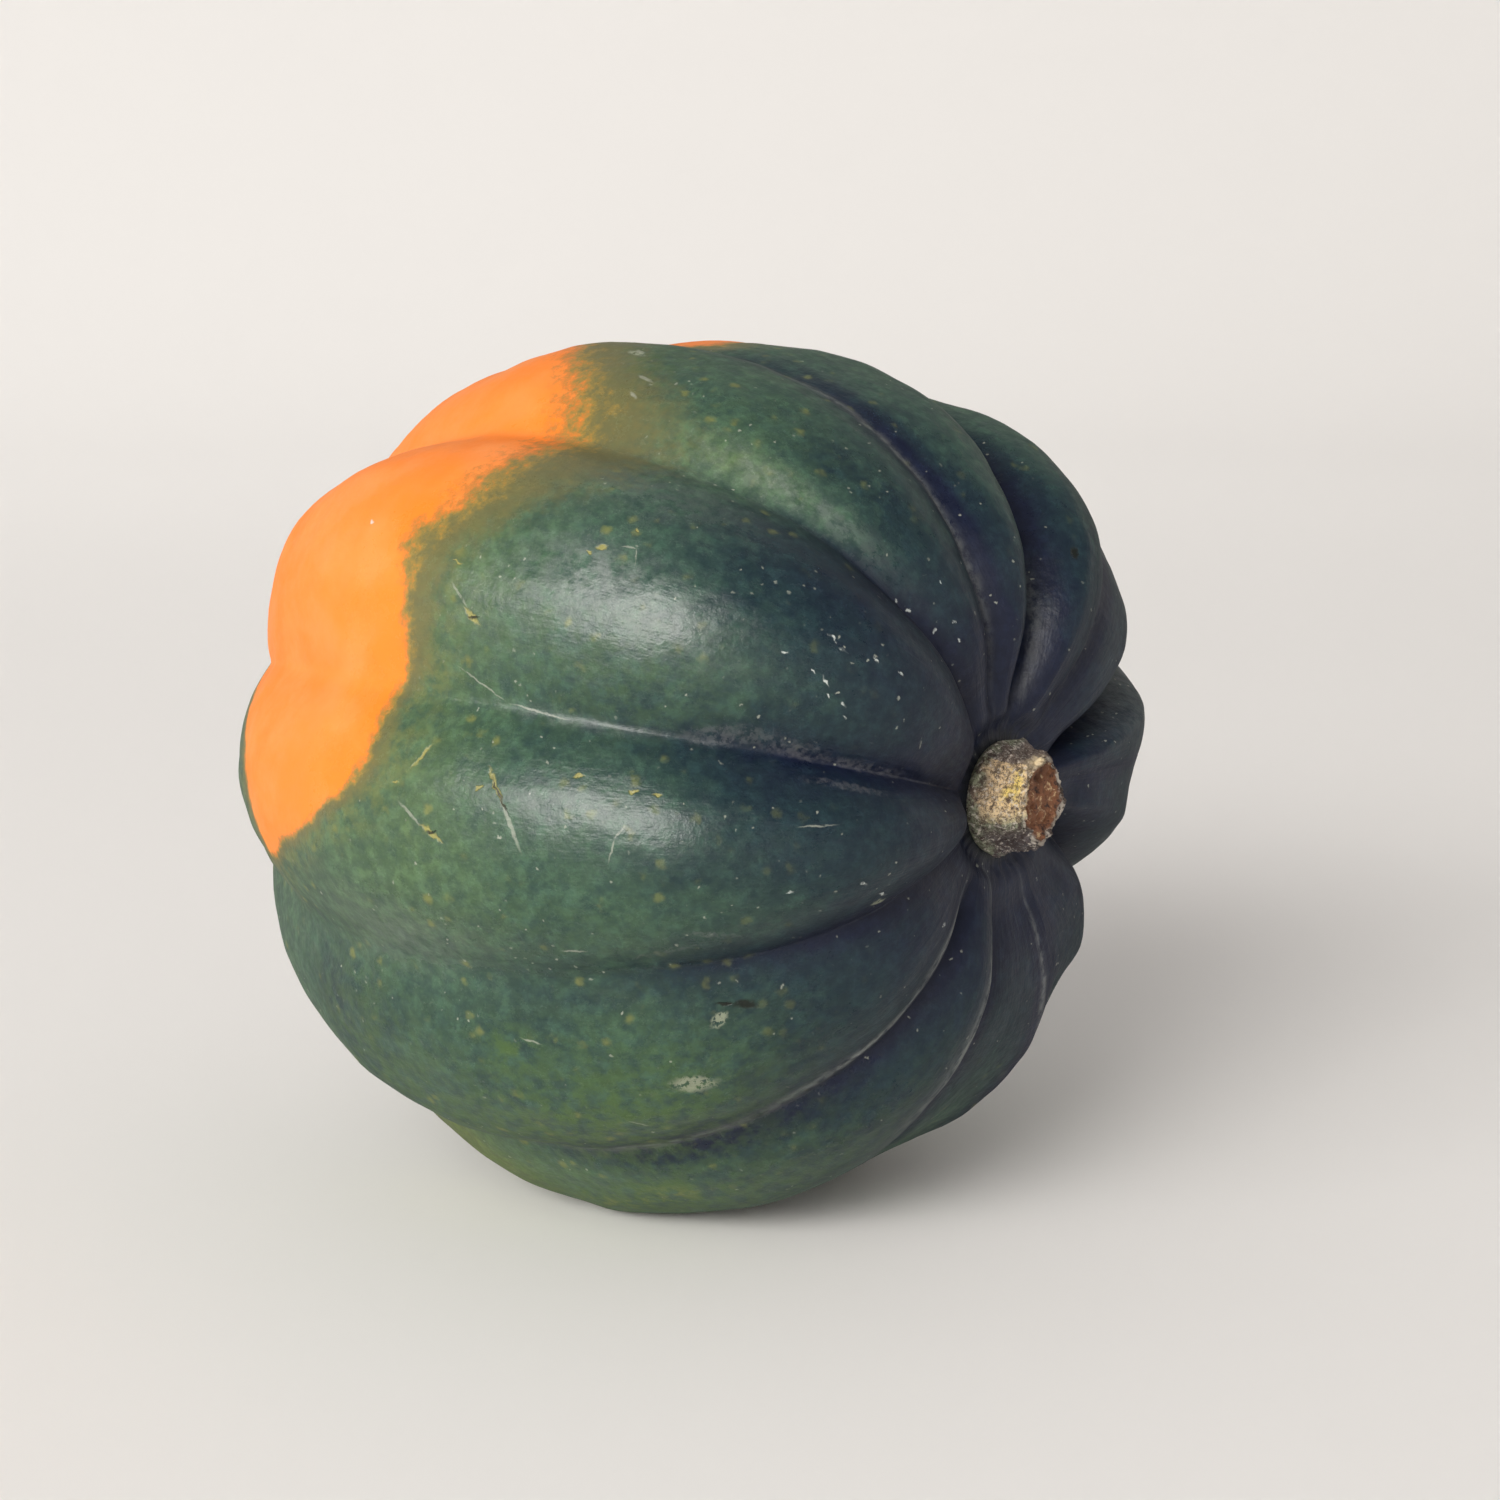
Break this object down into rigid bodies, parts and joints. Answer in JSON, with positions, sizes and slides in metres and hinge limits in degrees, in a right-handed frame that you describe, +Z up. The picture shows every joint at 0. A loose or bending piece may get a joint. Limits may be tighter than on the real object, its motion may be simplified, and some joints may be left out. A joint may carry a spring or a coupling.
{
  "type": "acorn squash",
  "caption": "Whole ribbed acorn squash with a short cut stem, lying on its side, dark green with an orange ground patch at the blossom end.",
  "frame": {"origin": "on the surface that the squash lies on, under the middle of its box", "axes": "+X along the fruit's level axis towards the stem, +Z up, +Y to the left of someone looking from the blossom end to the stem"},
  "size_m": [0.1206, 0.1214, 0.1116],
  "materials": {
    "rind": "smooth satin rind, dark green with yellow-green flecks and a bright orange patch",
    "cork": "dry, corky and rough, with a ragged brown cut face"
  },
  "bodies": {
    "root": {"fruit": "rind", "stem": "cork"}
  },
  "joints": []
}
